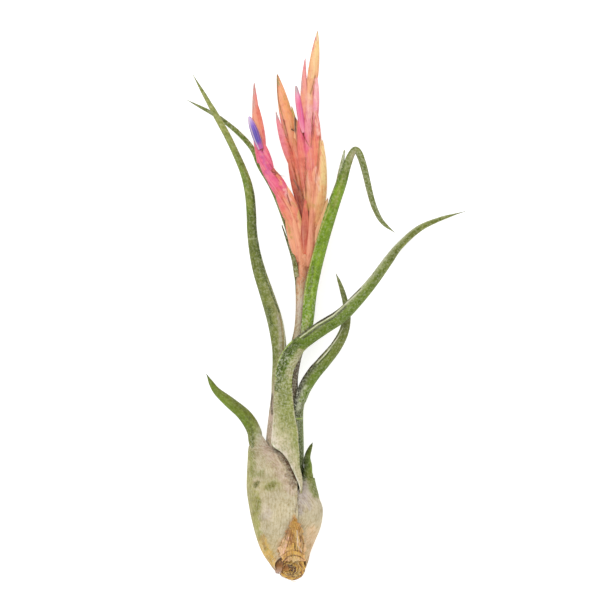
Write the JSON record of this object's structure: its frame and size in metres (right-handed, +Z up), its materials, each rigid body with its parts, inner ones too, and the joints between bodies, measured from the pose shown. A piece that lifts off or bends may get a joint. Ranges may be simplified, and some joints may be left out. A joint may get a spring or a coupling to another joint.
{
  "type": "air plant",
  "caption": "Bulb-based air plant in flower, lying on its side: hollow leaf sheaths, curling channelled leaves and bract spikes on a stalk.",
  "frame": {"origin": "on the surface that the plant lies on, in the small flat spot under its bulb", "axes": "+Z up from the surface, +Y along the plant from the bulb to the flowers, +X to the right seen from above with the flowers at the top"},
  "size_m": [0.1028, 0.2014, 0.027],
  "materials": {
    "sheath": "matt, silvery scales over tan and grey-green",
    "leaf": "matt green under fine silvery scales",
    "stem": "dry, fibrous at the scar and smooth along the stalk",
    "dry_bract": "dry and papery, torn fibres",
    "bract": "satin, waxy",
    "petal": "satin"
  },
  "bodies": {
    "root": {"leaf_f": "sheath", "leaf_g": "sheath", "leaf_d": "leaf", "leaf_e": "leaf", "leaf_a": "leaf", "leaf_b": "leaf", "leaf_c": "leaf", "dry_bract": "dry_bract", "stem": "stem", "flower_left": "petal", "flower_bud": "petal", "spike_left": "bract", "spike_middle": "bract", "spike_main": "bract"}
  },
  "joints": []
}
